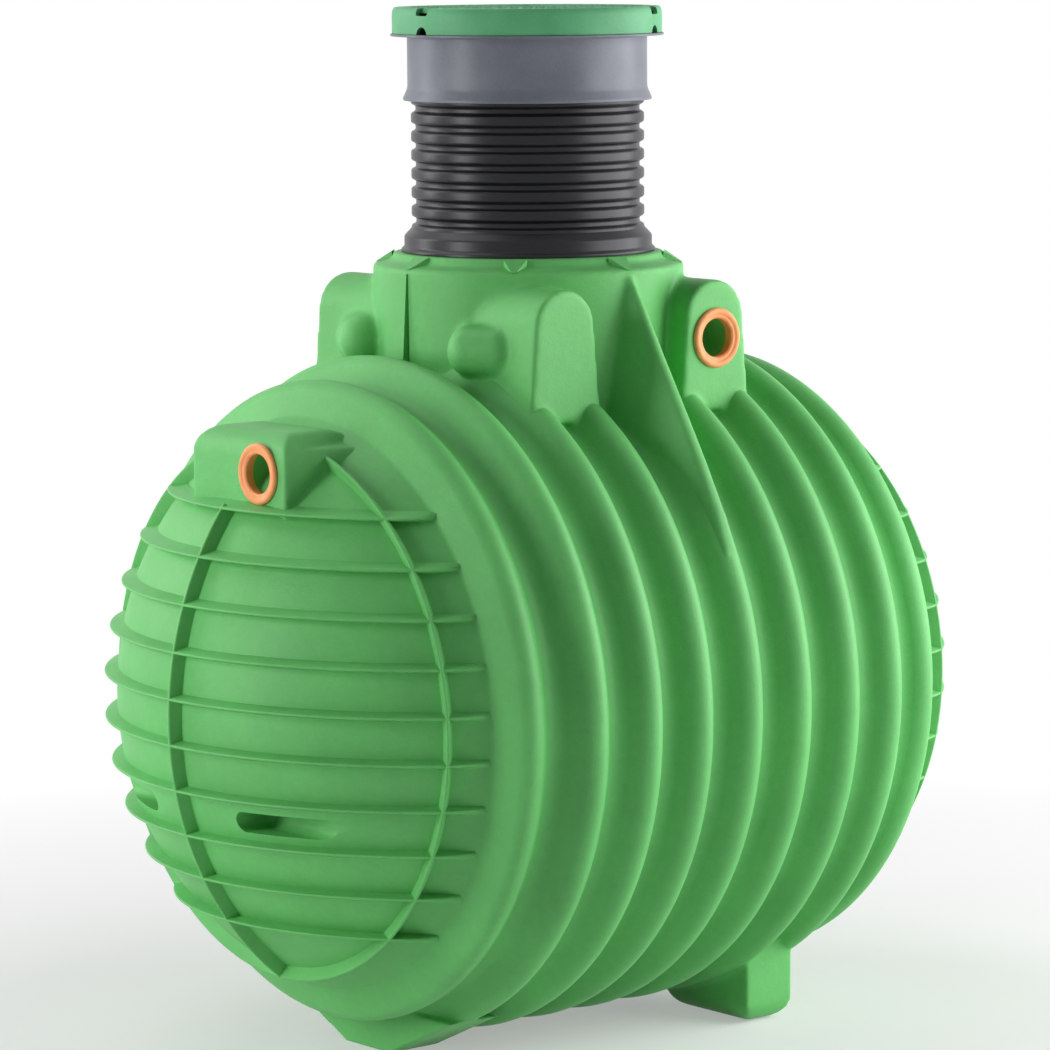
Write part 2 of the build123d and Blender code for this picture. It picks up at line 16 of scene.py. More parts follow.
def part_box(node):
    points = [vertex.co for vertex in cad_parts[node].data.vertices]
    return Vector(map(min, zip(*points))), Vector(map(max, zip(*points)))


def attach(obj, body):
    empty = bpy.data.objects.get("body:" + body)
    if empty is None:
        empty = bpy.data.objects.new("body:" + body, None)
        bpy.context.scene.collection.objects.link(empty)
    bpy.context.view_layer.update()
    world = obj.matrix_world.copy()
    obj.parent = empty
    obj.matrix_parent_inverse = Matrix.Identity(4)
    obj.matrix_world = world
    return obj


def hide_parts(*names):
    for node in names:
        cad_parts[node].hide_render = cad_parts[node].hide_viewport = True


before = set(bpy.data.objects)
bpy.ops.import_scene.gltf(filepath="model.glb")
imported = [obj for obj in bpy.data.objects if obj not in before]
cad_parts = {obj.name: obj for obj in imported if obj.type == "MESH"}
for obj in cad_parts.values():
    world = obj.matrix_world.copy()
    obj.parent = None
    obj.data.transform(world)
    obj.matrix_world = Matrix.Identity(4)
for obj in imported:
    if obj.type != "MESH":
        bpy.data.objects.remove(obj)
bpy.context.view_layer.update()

# %% [markdown]
# The tank is a body of revolution about its long axis, so most places are easiest to give
# as a distance along the axis and a height above it. The plateau of the neck is a flat
# face, so its height in the frame gives the axis exactly.

# %% Where the tank's axis is
CREST_R = 0.9945
NECK_TOP = 1.254
axis_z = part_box("neck")[1].z - NECK_TOP
half_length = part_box("back_end")[1].x
print("axis height", round(axis_z, 4), "half length", round(half_length, 4))

# %% [markdown]
# Operators act on whatever is selected, so each step begins from nothing selected. These
# few helpers do the clicking: enter edit mode on one object, pick faces, edges or points
# by a test on their place, and leave again.

# %% Helpers for selecting
def clear_selection():
    if bpy.context.mode != "OBJECT":
        bpy.ops.object.mode_set(mode="OBJECT")
    bpy.ops.object.select_all(action="DESELECT")


def activate(piece):
    clear_selection()
    piece.select_set(True)
    bpy.context.view_layer.objects.active = piece


def edit(piece):
    activate(piece)
    bpy.ops.object.mode_set(mode="EDIT")


def pick(piece, kind, test):
    """Selects the verts, edges or faces of a piece in edit mode that pass a test."""
    bpy.ops.mesh.select_mode(type={"verts": "VERT", "edges": "EDGE", "faces": "FACE"}[kind])
    bpy.ops.mesh.select_all(action="DESELECT")
    mesh = bmesh.from_edit_mesh(piece.data)
    for item in getattr(mesh, kind):
        if test(item):
            item.select_set(True)
    mesh.select_flush(True)
    bmesh.update_edit_mesh(piece.data)


def added(name):
    """The object that the last add operator made, named, its place moved into its mesh."""
    piece = bpy.context.active_object
    piece.name = name
    bpy.ops.object.transform_apply(location=True, rotation=True, scale=True)
    return piece


def apply_modifier(piece, kind, **settings):
    activate(piece)
    modifier = piece.modifiers.new(kind.lower(), kind)
    for key, value in settings.items():
        setattr(modifier, key, value)
    bpy.ops.object.modifier_apply(modifier=modifier.name)


def joined(name, pieces):
    clear_selection()
    for piece in pieces:
        piece.select_set(True)
    bpy.context.view_layer.objects.active = pieces[0]
    if len(pieces) > 1:
        bpy.ops.object.join()
    pieces[0].name = name
    return pieces[0]


def duplicate(piece, name):
    activate(piece)
    bpy.ops.object.duplicate()
    twin = bpy.context.active_object
    twin.name = name
    return twin


def smooth(piece, degrees=40):
    activate(piece)
    bpy.ops.object.shade_smooth_by_angle(angle=math.radians(degrees))


# %% [markdown]
# Turned shapes start from one point. The point is walked along the outline with extrude,
# corners are rounded with a bevel on points, and spin turns the line round an axis. Doubles
# at the seam and the poles are merged before the normals are recalculated.

# %% Helpers for turned shapes
def outline(name, points):
    """A line of edges through the points, walked by extruding one point."""
    clear_selection()
    bpy.ops.mesh.primitive_plane_add(size=0.1)
    piece = added(name)
    edit(piece)
    bpy.ops.mesh.select_mode(type="VERT")
    bpy.ops.mesh.select_all(action="SELECT")
    bpy.ops.mesh.merge(type="CENTER")
    bpy.ops.transform.translate(value=points[0])
    for here, there in zip(points, points[1:]):
        step = Vector(there) - Vector(here)
        bpy.ops.mesh.extrude_vertices_move(TRANSFORM_OT_translate={"value": step})
    return piece


def round_corners(piece, places, radius, segments=5, profile=0.5):
    """Rounds the outline's points that lie at the given places."""
    spots = [Vector(p) for p in places]
    pick(piece, "verts", lambda v: any((v.co - s).length < 1e-4 for s in spots))
    bpy.ops.mesh.bevel(offset=radius, segments=segments, profile=profile, affect="VERTICES")


def spin_closed(piece, axis, centre=(0, 0, 0), steps=128, turn=2 * math.pi):
    bpy.ops.mesh.select_all(action="SELECT")
    bpy.ops.mesh.spin(steps=steps, angle=turn, center=centre, axis=axis)
    bpy.ops.mesh.select_all(action="SELECT")
    bpy.ops.mesh.remove_doubles(threshold=1e-5)
    bpy.ops.mesh.normals_make_consistent(inside=False)
    clear_selection()


def turned(name, profile, corners=(), steps=128):
    """A body of revolution about the upright axis, from (radius, height) points.
    Heights are measured from the tank's axis. Corners are (point number, radius)."""
    points = [(r, 0.0, axis_z + z) for r, z in profile]
    piece = outline(name, points)
    for number, radius in corners:
        round_corners(piece, [points[number]], radius)
    spin_closed(piece, axis=(0, 0, 1), steps=steps)
    return piece


# %% [markdown]
# Shader maths reads best as sums and products. This small class wraps a socket and
# overloads the operators, so an expression on values adds its Math nodes by itself.

# %% A small shader language
def linear(r, g, b):
    """A colour from 0 to 255 as linear light."""
    parts = [c / 255 for c in (r, g, b)]
    return tuple(c / 12.92 if c <= 0.04045 else ((c + 0.055) / 1.055) ** 2.4 for c in parts) + (1.0,)


class Value:
    def __init__(self, maker, socket):
        self.maker = maker
        self.socket = socket

    def maths(self, operation, left, right=0.0, clamp=False):
        settings = {"operation": operation, "use_clamp": clamp}
        return self.maker.add("ShaderNodeMath", settings, {0: left, 1: right})[0]

    def __add__(self, other):
        return self.maths("ADD", self, other)

    def __sub__(self, other):
        return self.maths("SUBTRACT", self, other)

    def __rsub__(self, other):
        return self.maths("SUBTRACT", other, self)

    def __mul__(self, other):
        return self.maths("MULTIPLY", self, other)

    def __truediv__(self, other):
        return self.maths("DIVIDE", self, other)

    def __pow__(self, other):
        return self.maths("POWER", self, other)

    def clamped(self):
        return self.maths("ADD", self, 0.0, clamp=True)

    __radd__ = __add__
    __rmul__ = __mul__


class Finish:
    """One material, built node by node."""

    def __init__(self, name, roughness, **fixed):
        self.material = bpy.data.materials.new(name)
        self.material.use_nodes = True
        self.tree = self.material.node_tree
        self.shader = self.tree.nodes["Principled BSDF"]
        self.shader.inputs["Roughness"].default_value = roughness
        for socket, value in fixed.items():
            self.shader.inputs[socket.replace("_", " ")].default_value = value
        self.place = self.add("ShaderNodeTexCoord")["Object"]

    def add(self, kind, settings=None, inputs=None):
        """Adds a node, sets it, links or sets its sockets, and returns its outputs."""
        node = self.tree.nodes.new(kind)
        for key, value in (settings or {}).items():
            if key == "stops":
                set_stops(node.color_ramp, value)
            else:
                setattr(node, key, value)
        for key, value in (inputs or {}).items():
            self.feed(node.inputs[key], value)
        outputs = {o.name: Value(self, o) for o in node.outputs if o.enabled}
        outputs.update({n: Value(self, o) for n, o in enumerate(node.outputs)})
        return outputs

    def feed(self, socket, value):
        if isinstance(value, Value):
            self.tree.links.new(value.socket, socket)
        else:
            socket.default_value = value

    def noise(self, scale, detail=2.0, rough=0.5, where=None):
        inputs = {"Vector": where or self.place, "Scale": scale, "Detail": detail, "Roughness": rough}
        return self.add("ShaderNodeTexNoise", None, inputs)["Fac"]

    def ramp(self, value, *stops):
        return self.add("ShaderNodeValToRGB", {"stops": stops}, {"Fac": value})["Color"]

    def split(self, vector):
        return self.add("ShaderNodeSeparateXYZ", None, {"Vector": vector})

    def bump(self, height, distance, strength=1.0, below=None):
        inputs = {"Height": height, "Distance": distance, "Strength": strength}
        if below is not None:
            inputs["Normal"] = below
        return self.add("ShaderNodeBump", None, inputs)["Normal"]

    def set(self, socket, value):
        self.feed(self.shader.inputs[socket], value)


def set_stops(ramp, stops):
    while len(ramp.elements) > 1:
        ramp.elements.remove(ramp.elements[-1])
    ramp.elements[0].position, ramp.elements[0].color = stops[0]
    for position, colour in stops[1:]:
        ramp.elements.new(position).color = colour


# %% [markdown]
# The tank is rotation moulded from coloured polyethylene. Its skin is satin, with a fine
# orange peel from the mould, soft clouds where the powder melted unevenly, and a chalky
# bloom. Two scales of noise give the clouds and the peel, and a third, very fine one the
# grains of powder that never quite closed.

# %% Tank plastic
SHEEN = 0.25


def tank_plastic():
    finish = Finish("tank_plastic", roughness=0.46, Specular_IOR_Level=SHEEN)
    cloud = finish.noise(3.2, detail=4.0, rough=0.55)
    mottle = finish.noise(38.0, detail=3.0, rough=0.6)
    grain = finish.noise(430.0, detail=2.0, rough=0.7)
    tone = (cloud * 0.5 + mottle * 0.22 + grain * 0.28).clamped()
    green = finish.ramp(tone, (0.30, linear(94, 171, 96)), (0.50, linear(101, 184, 103)),
                        (0.72, linear(109, 198, 111)))
    finish.set("Base Color", green)
    finish.set("Roughness", (0.40 + mottle * 0.10 + grain * 0.06).clamped())
    peel = finish.bump(finish.noise(120.0, detail=3.0, rough=0.55), 0.0011, 0.55)
    finish.set("Normal", finish.bump(grain, 0.0006, 0.5, below=peel))
    return finish.material


# %% [markdown]
# The riser is black corrugated pipe, extruded and then blown into its mould, so it is
# smoother than the tank and shows long soft highlights. Fine scuffs run round it.

# %% Riser, collar, lid and seal finishes
def black_plastic():
    finish = Finish("black_plastic", roughness=0.34, Specular_IOR_Level=SHEEN)
    parts = finish.split(finish.place)
    stretched = finish.add("ShaderNodeCombineXYZ", None, {0: parts["X"], 1: parts["Y"],
                                                          2: parts["Z"] * 9.0})[0]
    scuff = finish.noise(26.0, detail=5.0, rough=0.65, where=stretched)
    dust = finish.noise(150.0, detail=3.0, rough=0.6)
    tone = (scuff * 0.7 + dust * 0.3).clamped()
    finish.set("Base Color", finish.ramp(tone, (0.35, linear(18, 18, 22)), (0.7, linear(32, 32, 38))))
    finish.set("Roughness", (0.26 + scuff * 0.16).clamped())
    finish.set("Normal", finish.bump(scuff, 0.0006, 0.5))
    return finish.material


def grey_plastic():
    finish = Finish("grey_plastic", roughness=0.38, Specular_IOR_Level=SHEEN)
    cloud = finish.noise(7.0, detail=3.0)
    grain = finish.noise(260.0, detail=2.0, rough=0.6)
    tone = (cloud * 0.6 + grain * 0.4).clamped()
    finish.set("Base Color", finish.ramp(tone, (0.3, linear(98, 101, 112)), (0.7, linear(120, 123, 134))))
    finish.set("Roughness", (0.30 + grain * 0.16).clamped())
    finish.set("Normal", finish.bump(grain, 0.0004, 0.4))
    return finish.material


def lid_plastic():
    finish = Finish("lid_plastic", roughness=0.45, Specular_IOR_Level=SHEEN)
    cloud = finish.noise(9.0, detail=4.0)
    grain = finish.noise(340.0, detail=2.0, rough=0.7)
    tone = (cloud * 0.55 + grain * 0.45).clamped()
    finish.set("Base Color", finish.ramp(tone, (0.3, linear(76, 152, 104)), (0.7, linear(100, 178, 126))))
    finish.set("Roughness", (0.38 + grain * 0.14).clamped())
    finish.set("Normal", finish.bump(grain, 0.0006, 0.5))
    return finish.material


def seal_rubber():
    finish = Finish("seal_rubber", roughness=0.42, Specular_IOR_Level=SHEEN)
    cloud = finish.noise(30.0, detail=3.0)
    grain = finish.noise(520.0, detail=2.0)
    tone = (cloud * 0.7 + grain * 0.3).clamped()
    finish.set("Base Color", finish.ramp(tone, (0.3, linear(240, 146, 88)), (0.7, linear(252, 172, 116))))
    finish.set("Roughness", (0.34 + grain * 0.14).clamped())
    finish.set("Normal", finish.bump(grain, 0.0003, 0.4))
    return finish.material


materials = {"tank_plastic": tank_plastic(), "black_plastic": black_plastic(),
             "grey_plastic": grey_plastic(), "lid_plastic": lid_plastic(),
             "seal_rubber": seal_rubber()}
print("materials", sorted(materials))


# %% [markdown]
# Every new piece ends the same way: it gets its finish, rides on the one body of the
# frame, and stands for the construction nodes that it covers.

# %% Handing a piece over
def hand_over(piece, slot, *nodes):
    piece.data.materials.clear()
    piece.data.materials.append(materials[slot])
    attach(piece, "root")
    if nodes:
        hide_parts(*nodes)
    print(piece.name, len(piece.data.polygons), "faces")


# %% [markdown]
# The barrel is one wave line turned about the long axis: nine ribs, crest and valley joined
# by steep flanks. The line starts on the axis, at the tip of the front dome, follows the
# dome's arc in short steps to the seam, and runs on along the rib points over the barrel.
# Rounding the points then gives the soft crests and valleys that let the part leave its
# mould. A bevel on points draws a true arc only at a right angle, so its profile is worked
# out for the flanks' own angle.

# %% Tank skin
RIB_PITCH = 0.187
RIB_COUNT = 9
END_CREST_R = (0.920, 0.979)
VALLEY_R = 0.9225
END_VALLEY_R = 0.886
FLANK_ANGLE = math.radians(57)
CREST_ROUND = 0.050
VALLEY_ROUND = 0.044
DOME_R = half_length - 0.319
DOME_CENTRE_X = 0.319
SEAM_R = 0.818
SEAM_ROUND = 0.007
DOME_STEPS = 30
SKIN_STEPS = 224


def crest_radius(rib):
    from_end = min(rib, RIB_COUNT - 1 - rib)
    return END_CREST_R[from_end] if from_end < len(END_CREST_R) else CREST_R


def rib_points():
    """Where the flanks of each crest and valley would meet, before the points are rounded."""
    lift = 1 / math.cos(FLANK_ANGLE) - 1
    crests, valleys = [], []
    for rib in range(RIB_COUNT):
        x = (rib - (RIB_COUNT - 1) / 2) * RIB_PITCH
        crests.append((x, 0.0, axis_z + crest_radius(rib) + CREST_ROUND * lift))
        if rib < RIB_COUNT - 1:
            radius = END_VALLEY_R if rib in (0, RIB_COUNT - 2) else VALLEY_R
            valleys.append((x + RIB_PITCH / 2, 0.0, axis_z + radius - VALLEY_ROUND * lift))
    return crests, valleys


def dome_points(side):
    """Points of one dome's arc, from the tip to the seam with the barrel."""
    end = math.asin(SEAM_R / DOME_R)
    points = []
    for n in range(DOME_STEPS + 1):
        angle = end * n / DOME_STEPS
        x = DOME_CENTRE_X + DOME_R * math.cos(angle)
        points.append((side * x, 0.0, axis_z + DOME_R * math.sin(angle)))
    return points


def tank_skin():
    crests, valleys = rib_points()
    ribs = [p for pair in zip(crests, valleys) for p in pair] + [crests[-1]]
    front, back = dome_points(-1), dome_points(1)
    piece = outline("tank_skin", front + ribs + back[::-1])
    reach = math.tan(FLANK_ANGLE)
    arc = (1 - 0.5 / (1 + math.cos(FLANK_ANGLE))) ** 2
    round_corners(piece, crests, CREST_ROUND * reach, segments=8, profile=arc)
    round_corners(piece, valleys, VALLEY_ROUND * reach, segments=8, profile=arc)
    round_corners(piece, [front[-1], back[-1]], SEAM_ROUND, segments=4)
    spin_closed(piece, axis=(1, 0, 0), centre=(0, 0, axis_z), steps=SKIN_STEPS)
    smooth(piece, 60)
    return piece


skin = tank_skin()
skin_low, skin_high = skin.bound_box[0], skin.bound_box[6]
print("skin box", [round(v, 4) for v in skin_low], [round(v, 4) for v in skin_high])


# %% [markdown]
# What is moulded onto the tank runs into it with soft fillets. A boolean union would leave
# a hard crease, so the added solids and a copy of the tank's skin, sunk a few millimetres,
# are remeshed together into one even mesh, and only the points near the added solids are
# relaxed. Then all that lies under the skin is deleted. The fillets come out of the tank by
# themselves.

# %% Blending a solid into the tank
SUNK = 0.003


def skin_patch(low, high):
    """A closed slice of the sunk skin, inside a box."""
    patch = duplicate(skin, "patch")
    edit(patch)
    bpy.ops.mesh.select_all(action="SELECT")
    bpy.ops.transform.shrink_fatten(value=-SUNK)
    for axis in range(3):
        for bound, side in ((low[axis], -1), (high[axis], 1)):
            normal = [0.0, 0.0, 0.0]
            normal[axis] = float(side)
            place = [0.0, 0.0, 0.0]
            place[axis] = bound
            bpy.ops.mesh.select_all(action="SELECT")
            bpy.ops.mesh.bisect(plane_co=place, plane_no=normal, use_fill=True, clear_outer=True)
    clear_selection()
    return patch


def tree_of(piece):
    mesh = bmesh.new()
    mesh.from_mesh(piece.data)
    tree = BVHTree.FromBMesh(mesh)
    mesh.free()
    return tree


skin_tree = tree_of(skin)


def bore(piece, place, turn, radius, depth):
    """A blind round hole into a solid, from a place on its face."""
    clear_selection()
    bpy.ops.mesh.primitive_cylinder_add(vertices=64, radius=radius, depth=2 * depth, location=place,
                                        rotation=turn)
    drill = added("drill")
    apply_modifier(piece, "BOOLEAN", operation="DIFFERENCE", object=drill, solver="MANIFOLD")
    bpy.data.objects.remove(drill)


def depth_under_skin(point):
    """How far a point lies outside the tank's skin, negative inside it."""
    place, normal, _, distance = skin_tree.find_nearest(point)
    return math.copysign(distance, (point - place).dot(normal))


def blended(name, solids, voxel, passes, reach=0.06, crisp=None):
    """Solids grown out of the tank's skin with soft fillets. crisp lowers a point's share."""
    added_solid = joined(name, solids)
    near = tree_of(added_solid)
    corners = [Vector(c) for c in added_solid.bound_box]
    low = [min(c[a] for c in corners) - reach - 0.03 for a in range(3)]
    high = [max(c[a] for c in corners) + reach + 0.03 for a in range(3)]
    patch = skin_patch(low, high)
    piece = joined(name, [added_solid, patch])
    apply_modifier(piece, "REMESH", mode="VOXEL", voxel_size=voxel)
    group = piece.vertex_groups.new(name="soft")
    for vertex in piece.data.vertices:
        distance = near.find_nearest(vertex.co)[3]
        share = max(0.0, 1.0 - distance / reach)
        if crisp is not None:
            share *= crisp(vertex.co)
        if share > 0:
            group.add([vertex.index], share, "REPLACE")
    apply_modifier(piece, "SMOOTH", factor=0.5, iterations=passes, vertex_group="soft")
    edit(piece)
    pick(piece, "faces", lambda f: depth_under_skin(f.calc_center_median()) < -0.6 * SUNK)
    bpy.ops.mesh.delete(type="FACE")
    clear_selection()
    piece.vertex_groups.clear()
    smooth(piece, 80)
    return piece


# %% [markdown]
# The neck carries the riser. It is a wide drum with a sloping ledge and a raised plateau.
# Four pods stand round it, arched boxes that take the pipes. They are cylinders cut in
# half and pulled down, as a moulder would sketch them, with the foot wider than the arch.
# A short blind stub with round ends leans against the flank of each, and the pod behind the
# outlet seal is bored so that one looks into a dark hole.

# %% Neck and pods
NECK_R = 0.4535
NECK_SHOULDER = 1.219
LEDGE_R = 0.400
LEDGE_RISE = 0.014
PLATEAU_R = 0.393
NECK_FOOT = 0.80
POD_X = 0.283
POD_FACE_Y = 0.505
POD_HALF_TOP = 0.109
POD_HALF_FOOT = 0.132
POD_ARCH_Z = 1.071
POD_FOOT_Z = 0.80
POD_BACK_Y = 0.19
STUB_R = 0.0605
STUB_Z = 1.000
STUB_X = 0.3965
STUB_Y = 0.283
STUB_LENGTH = 0.214
STUB_TURN = math.radians(59.7)
STUB_ROUND = 0.047
POD_SEAL = (POD_X, -POD_FACE_Y, axis_z + 1.012)
SEAL_HOLE = 0.062
POD_HOLE_DEPTH = 0.120
CUT_ABOVE_ARCH = 0.001
NECK_VOXEL = 0.0075


def neck_drum():
    profile = [(0.0, NECK_FOOT), (NECK_R, NECK_FOOT), (NECK_R, NECK_SHOULDER),
               (LEDGE_R, NECK_SHOULDER + LEDGE_RISE), (PLATEAU_R, NECK_TOP), (0.0, NECK_TOP)]
    return turned("neck_drum", profile, corners=[(2, 0.008)], steps=160)


def pod(name, side_x, side_y):
    depth = POD_FACE_Y - POD_BACK_Y
    clear_selection()
    bpy.ops.mesh.primitive_cylinder_add(
        vertices=48, radius=POD_HALF_TOP, depth=depth, rotation=(math.radians(90), 0, 0),
        location=(side_x * POD_X, side_y * (POD_BACK_Y + depth / 2), axis_z + POD_ARCH_Z))
    piece = added(name)
    edit(piece)
    bpy.ops.mesh.select_all(action="SELECT")
    middle = (side_x * POD_X, 0.0, axis_z + POD_ARCH_Z + CUT_ABOVE_ARCH)
    bpy.ops.mesh.bisect(plane_co=middle, plane_no=(0, 0, -1), use_fill=True, clear_outer=True)
    pick(piece, "faces", lambda f: f.normal.z < -0.9)
    drop = (0, 0, POD_FOOT_Z - POD_ARCH_Z)
    bpy.ops.mesh.extrude_region_move(TRANSFORM_OT_translate={"value": drop})
    foot = (side_x * POD_X, 0.0, axis_z + POD_FOOT_Z)
    bpy.ops.transform.resize(value=(POD_HALF_FOOT / POD_HALF_TOP, 1, 1), center_override=foot)
    clear_selection()
    return piece


def stub(name, side_x, side_y):
    """A short round-ended cylinder that leans against the pod's flank."""
    along = Vector((side_x * math.cos(STUB_TURN), -side_y * math.sin(STUB_TURN), 0.0))
    middle = Vector((side_x * STUB_X, side_y * STUB_Y, axis_z + STUB_Z))
    clear_selection()
    bpy.ops.mesh.primitive_cylinder_add(
        vertices=48, radius=STUB_R, depth=STUB_LENGTH, location=middle,
        rotation=(0, math.radians(90), math.atan2(along.y, along.x)))
    piece = added(name)
    edit(piece)
    rim = STUB_LENGTH / 2 - 1e-4
    pick(piece, "edges", lambda e: abs((e.verts[0].co - middle).dot(along)) > rim
         and abs((e.verts[1].co - e.verts[0].co).dot(along)) < 1e-4)
    bpy.ops.mesh.bevel(offset=STUB_ROUND, segments=7)
    clear_selection()
    return piece


# %% [markdown]
# Over the middle rib a tall fin climbs from the barrel's side to the neck's shoulder. It is
# a drafted ridge: narrow at its crest, wider towards its root and towards its foot, where it
# runs into the rib. A plane across the crest line is the first station, and extruding it
# from station to station follows the line.

# %% Brace fins
BRACE_LINE = [(0.440, 1.222), (0.4680, 1.186), (0.519, 1.108), (0.596, 0.976),
              (0.673, 0.848), (0.770, 0.688), (0.847, 0.547), (0.886, 0.458), (0.904, 0.388)]
BRACE_HALF_TOP = 0.0075
BRACE_HALF_FOOT = 0.024
BRACE_HALF_ROOT = 0.085
BRACE_ROOT_DEPTH = 0.20


def brace_fin(name, side_y):
    """A ridge whose crest follows the line, its root line deeper inside the tank."""
    stations = []
    last = len(BRACE_LINE) - 1
    for n, (y, z) in enumerate(BRACE_LINE):
        before = Vector(BRACE_LINE[max(n - 1, 0)])
        after = Vector(BRACE_LINE[min(n + 1, last)])
        along = (after - before).normalized()
        inward = Vector((-abs(along.y), -abs(along.x)))
        root = Vector((y, z)) + BRACE_ROOT_DEPTH * inward
        half = BRACE_HALF_TOP + (BRACE_HALF_FOOT - BRACE_HALF_TOP) * n / last
        stations.append([(-half, y, z), (half, y, z),
                         (BRACE_HALF_ROOT, root.x, root.y), (-BRACE_HALF_ROOT, root.x, root.y)])
    clear_selection()
    bpy.ops.mesh.primitive_plane_add(size=0.1)
    piece = added(name)
    edit(piece)
    bpy.ops.mesh.select_all(action="SELECT")
    place_face(piece, stations[0], side_y)
    for station in stations[1:]:
        bpy.ops.mesh.extrude_region_move(TRANSFORM_OT_translate={"value": (0, 0, 0)})
        place_face(piece, station, side_y)
    bpy.ops.mesh.select_all(action="SELECT")
    bpy.ops.mesh.normals_make_consistent(inside=False)
    clear_selection()
    return piece


def place_face(piece, station, side_y):
    """Moves the selected face's four corners onto a station."""
    mesh = bmesh.from_edit_mesh(piece.data)
    face = next(f for f in mesh.faces if f.select)
    for vertex, (x, y, z) in zip(face.verts, station):
        vertex.co = Vector((x, side_y * y, axis_z + z))
    bmesh.update_edit_mesh(piece.data)


CRISP_FROM = NECK_SHOULDER - 0.03
CRISP_SHARE = 0.18


def neck_crispness(point):
    """The neck's ledge and plateau keep sharper edges than its foot."""
    return CRISP_SHARE if point.z > axis_z + CRISP_FROM else 1.0


neck_solids = [neck_drum()]
for end_name, side_x in (("front", -1), ("back", 1)):
    for side_name, side_y in (("near", -1), ("far", 1)):
        arch = pod("pod_" + end_name + "_" + side_name, side_x, side_y)
        if (end_name, side_name) == ("back", "near"):
            bore(arch, POD_SEAL, (math.radians(90), 0, 0), SEAL_HOLE, POD_HOLE_DEPTH)
        neck_solids.append(arch)
        neck_solids.append(stub("stub_" + end_name + "_" + side_name, side_x, side_y))
for side_y in (-1, 1):
    neck_solids.append(brace_fin("brace", side_y))
neck = blended("neck_skin", neck_solids, voxel=NECK_VOXEL, passes=16, crisp=neck_crispness)
hand_over(neck, "tank_plastic", "neck", "pod_front_near", "pod_front_far", "pod_back_near",
          "pod_back_far", "brace_fin_near", "brace_fin_far")

# %% [markdown]
# The inlet box is a flat-faced hood over the pipe hole near the top of each dome. Its top
# corners are rounded and its flanks spread towards the dome. It starts as a cube, whose
# back face is scaled up and whose upper edges are bevelled. The back one is lower: it hides
# behind the ribs in the photograph.

# %% Inlet boxes
BOX_FACE_X = 1.060
BOX_HALF_WIDTH = 0.218
BOX_TOP = {"front": 0.803, "back": 0.690}
BOX_FLOOR = 0.50
BOX_CORNER = 0.075
BOX_BACK_X = 0.80
BOX_SPREAD = 1.27
BOX_HOLE_DEPTH = 0.080
BOX_VOXEL = 0.006
BOX_SEAL = (-BOX_FACE_X, -0.099, axis_z + 0.686)


def inlet_box(name, side_x, rise):
    clear_selection()
    length = BOX_FACE_X - BOX_BACK_X
    height = rise - BOX_FLOOR
    bpy.ops.mesh.primitive_cube_add(size=1, location=(
        side_x * (BOX_BACK_X + length / 2), 0.0, axis_z + BOX_FLOOR + height / 2))
    bpy.context.active_object.scale = (length, 2 * BOX_HALF_WIDTH, height)
    piece = added(name)
    edit(piece)
    top = axis_z + rise
    pick(piece, "edges", lambda e: abs(e.verts[0].co.x - e.verts[1].co.x) > 0.1
         and all(v.co.z > top - 1e-3 for v in e.verts))
    bpy.ops.mesh.bevel(offset=BOX_CORNER, segments=8)
    pick(piece, "faces", lambda f: f.normal.x * side_x < -0.9)
    bpy.ops.transform.resize(value=(1, BOX_SPREAD, 1), center_override=(0, 0, axis_z + BOX_FLOOR))
    clear_selection()
    return piece


for end_name, side_x in (("front", -1), ("back", 1)):
    hood = inlet_box(end_name + "_box", side_x, BOX_TOP[end_name])
    if end_name == "front":
        bore(hood, BOX_SEAL, (0, math.radians(90), 0), SEAL_HOLE, BOX_HOLE_DEPTH)
    box = blended(end_name + "_box_skin", [hood], voxel=BOX_VOXEL, passes=12)
    hand_over(box, "tank_plastic", end_name + "_inlet_box")

# %% [markdown]
# The feet are moulded the same way: two boxes between the ribs at the outlet end, rounded
# underneath, and one wide foot under the second rib at the inlet end.

# %% Feet
REAR_FOOT_X = 0.4715
REAR_FOOT_HALF = 0.0905
REAR_FOOT_END_Y = 0.530
REAR_FOOT_IN_Y = 0.165
FOOT_TOP = 0.760
FOOT_CORNER = 0.066
FRONT_FOOT_X = 0.534
FRONT_FOOT_HALF = 0.090
FRONT_FOOT_FLAT = 0.105
FRONT_FOOT_REACH = 0.395
FRONT_FOOT_RISE = 0.135
FOOT_VOXEL = 0.0065


def rear_foot(name, side_y):
    clear_selection()
    length = REAR_FOOT_END_Y - REAR_FOOT_IN_Y
    height = axis_z - FOOT_TOP
    bpy.ops.mesh.primitive_cube_add(size=1, location=(
        REAR_FOOT_X, side_y * (REAR_FOOT_IN_Y + length / 2), height / 2))
    bpy.context.active_object.scale = (2 * REAR_FOOT_HALF, length, height)
    piece = added(name)
    edit(piece)
    pick(piece, "edges", lambda e: abs(e.verts[0].co.y - e.verts[1].co.y) > 0.1
         and all(v.co.z < 1e-3 for v in e.verts))
    bpy.ops.mesh.bevel(offset=FOOT_CORNER, segments=8)
    clear_selection()
    return piece


def front_foot(name):
    clear_selection()
    bpy.ops.mesh.primitive_cube_add(size=1, location=(-FRONT_FOOT_X, 0.0, FRONT_FOOT_RISE / 2))
    bpy.context.active_object.scale = (2 * FRONT_FOOT_HALF, 2 * FRONT_FOOT_REACH, FRONT_FOOT_RISE)
    piece = added(name)
    edit(piece)
    pick(piece, "faces", lambda f: f.normal.z < -0.9)
    share = FRONT_FOOT_FLAT / FRONT_FOOT_REACH
    bpy.ops.transform.resize(value=(1, share, 1), center_override=(0, 0, 0))
    clear_selection()
    return piece


